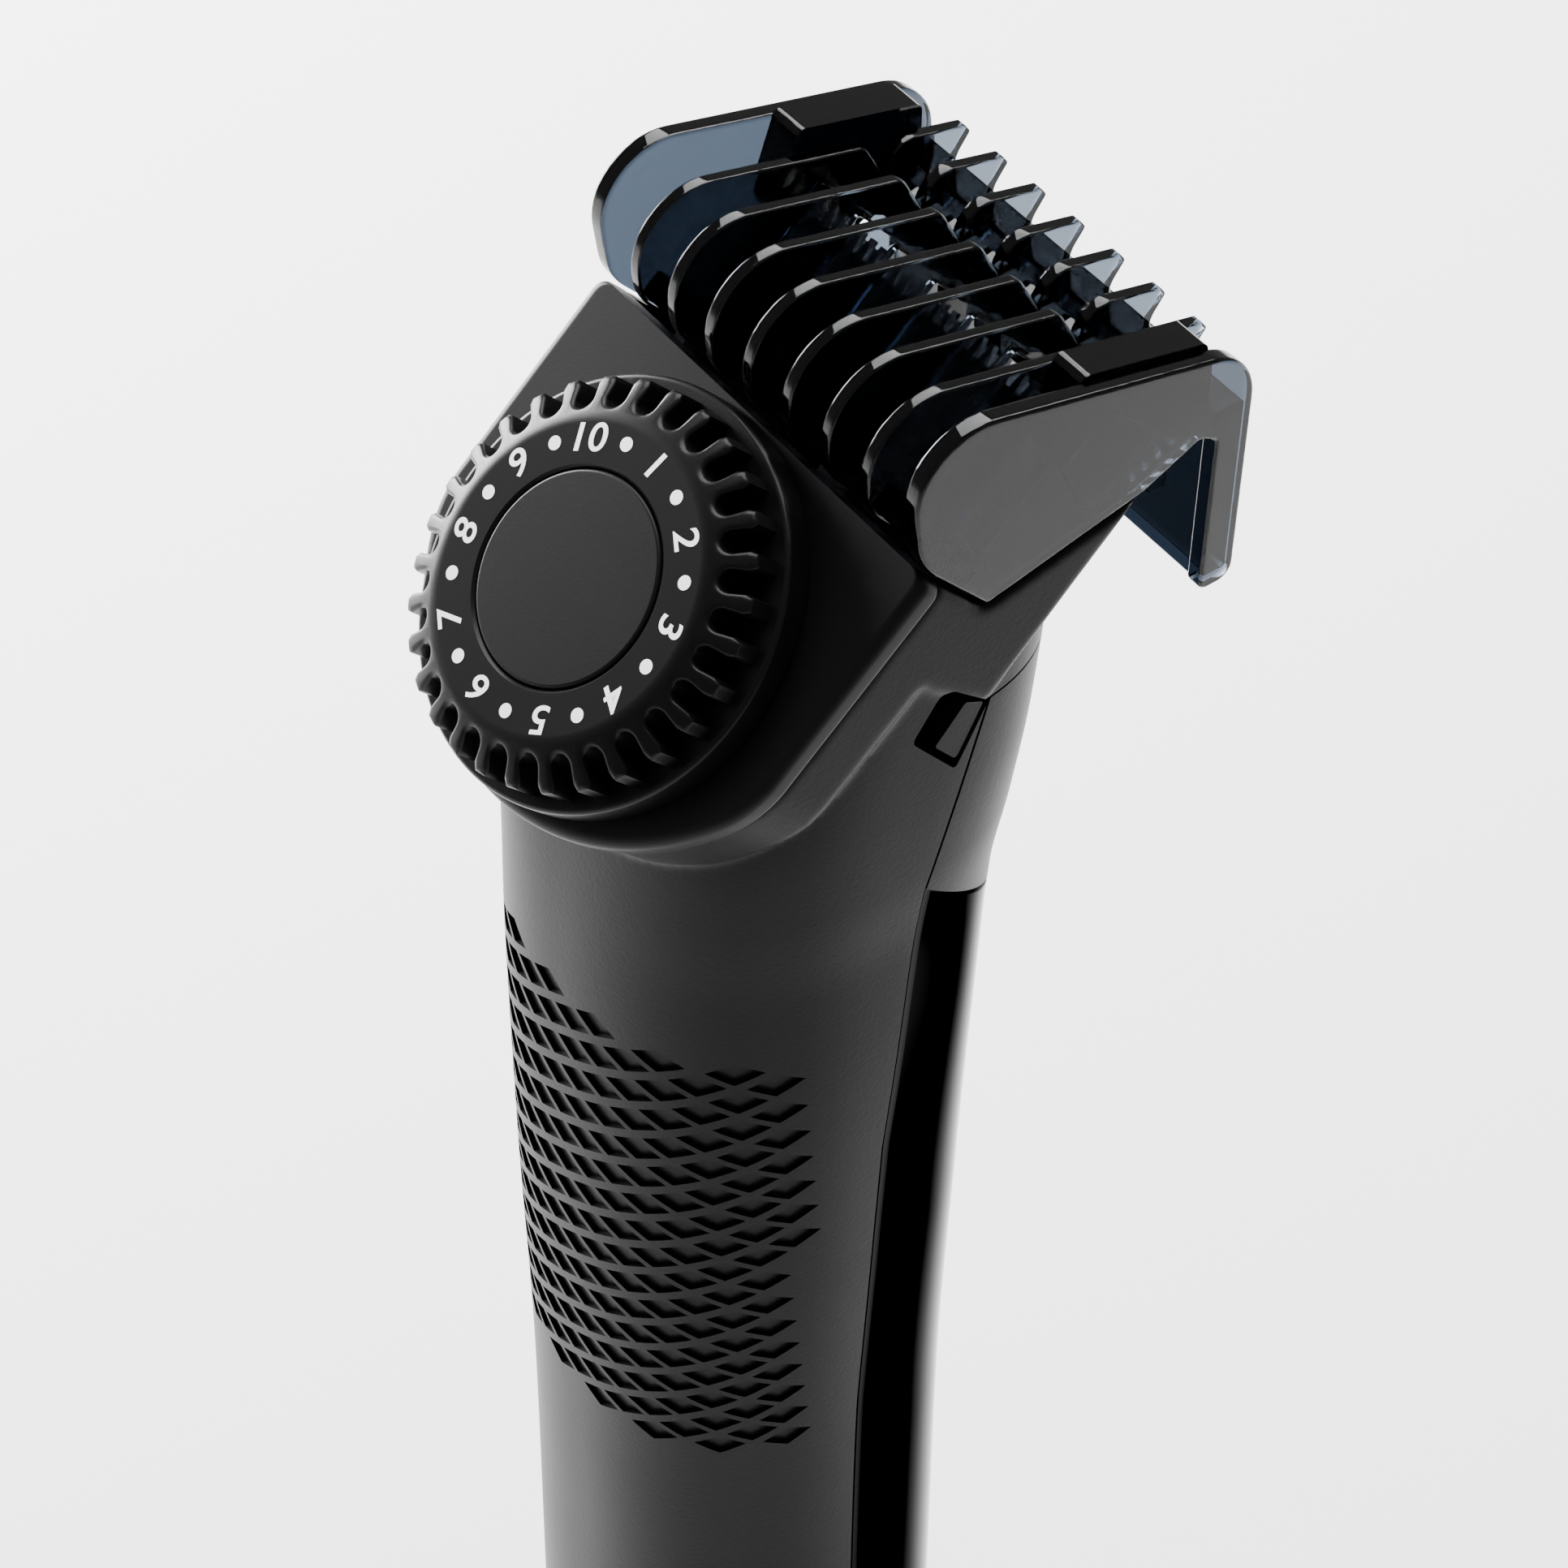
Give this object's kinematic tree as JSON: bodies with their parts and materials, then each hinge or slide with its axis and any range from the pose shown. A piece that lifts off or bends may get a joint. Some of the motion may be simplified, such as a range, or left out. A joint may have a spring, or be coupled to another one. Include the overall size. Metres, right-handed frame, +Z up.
{
  "type": "hair clipper",
  "caption": "Cordless hair clipper with a round handle, a leaning head, and a thumb wheel that slides its clear guide comb over the blade.",
  "frame": {"origin": "centre of the flat base, on the handle's axis", "axes": "+Z up the handle, -Y out of the side with the thumb wheel, +X to its right"},
  "size_m": [0.0404, 0.0578, 0.1778],
  "materials": {
    "housing": "matt with a fine leather grain",
    "gloss_panel": "piano gloss",
    "faceplate": "fine matt",
    "wheel": "satin",
    "button": "satin",
    "comb": "clear smoky blue",
    "inner_plastic": "matt",
    "steel": "ground",
    "spring_steel": "bright drawn",
    "brass": "turned",
    "board": "solder mask",
    "cell_wrap": "shrink film"
  },
  "bodies": {
    "body": {"front_housing": "housing", "rear_housing": "housing", "rear_gloss_panel": "gloss_panel", "faceplate": "faceplate", "base_cap": "housing", "charging_jack": "inner_plastic", "chassis": "inner_plastic", "rechargeable_cell": "cell_wrap", "cell_contacts": "brass", "circuit_board": "board", "board_screws": "steel", "housing_screws": "steel", "power_switch": "inner_plastic", "guide_frame": "inner_plastic", "frame_screws": "steel", "motor_bracket": "inner_plastic", "motor_can": "steel", "cutter_housing": "housing", "fixed_blade": "steel", "blade_screws": "steel", "blade_spring": "spring_steel", "wheel_axle": "steel", "detent_spring": "spring_steel", "button_spring": "spring_steel"},
    "wheel": {"zoom_wheel": "wheel"},
    "button": {"power_button": "button", "button_clip": "spring_steel"},
    "carriage": {"carriage": "inner_plastic", "follower_pin": "steel"},
    "comb": {"guide_comb": "comb"},
    "blade": {"moving_blade": "steel", "blade_yoke": "inner_plastic"},
    "rotor": {"motor_shaft": "steel", "eccentric": "brass"}
  },
  "joints": [
    {"name": "wheel_turn", "type": "hinge", "parent": "body", "child": "wheel", "pos_m": [0, -0.0103, 0.155], "axis": [0, -0.6756, 0.7373], "range_deg": [0, 324.2]},
    {"name": "button_press", "type": "slide", "parent": "body", "child": "button", "axis": [0, 0.6756, -0.7373], "range_m": [0, 0.0009], "stiffness_N_per_m": 300, "springref_m": -0.002, "deforming": ["button_spring"]},
    {"name": "carriage_slide", "type": "slide", "parent": "body", "child": "carriage", "axis": [0, 0.7373, 0.6756], "range_m": [0, 0.01064]},
    {"name": "comb_pull_off", "type": "slide", "parent": "carriage", "child": "comb", "axis": [0, 0.7373, 0.6756], "range_m": [0, 0.028]},
    {"name": "blade_stroke", "type": "slide", "parent": "body", "child": "blade", "axis": [1, 0, 0], "range_m": [-0.0012, 0.0012]},
    {"name": "motor_spin", "type": "hinge", "parent": "body", "child": "rotor", "pos_m": [0, 0.00596, 0.14318], "axis": [0, 0.7373, 0.6756], "continuous": true}
  ],
  "couplings": [
    {"joint": "wheel_turn", "follows": "carriage_slide", "rad_per_m": 531.47}
  ]
}
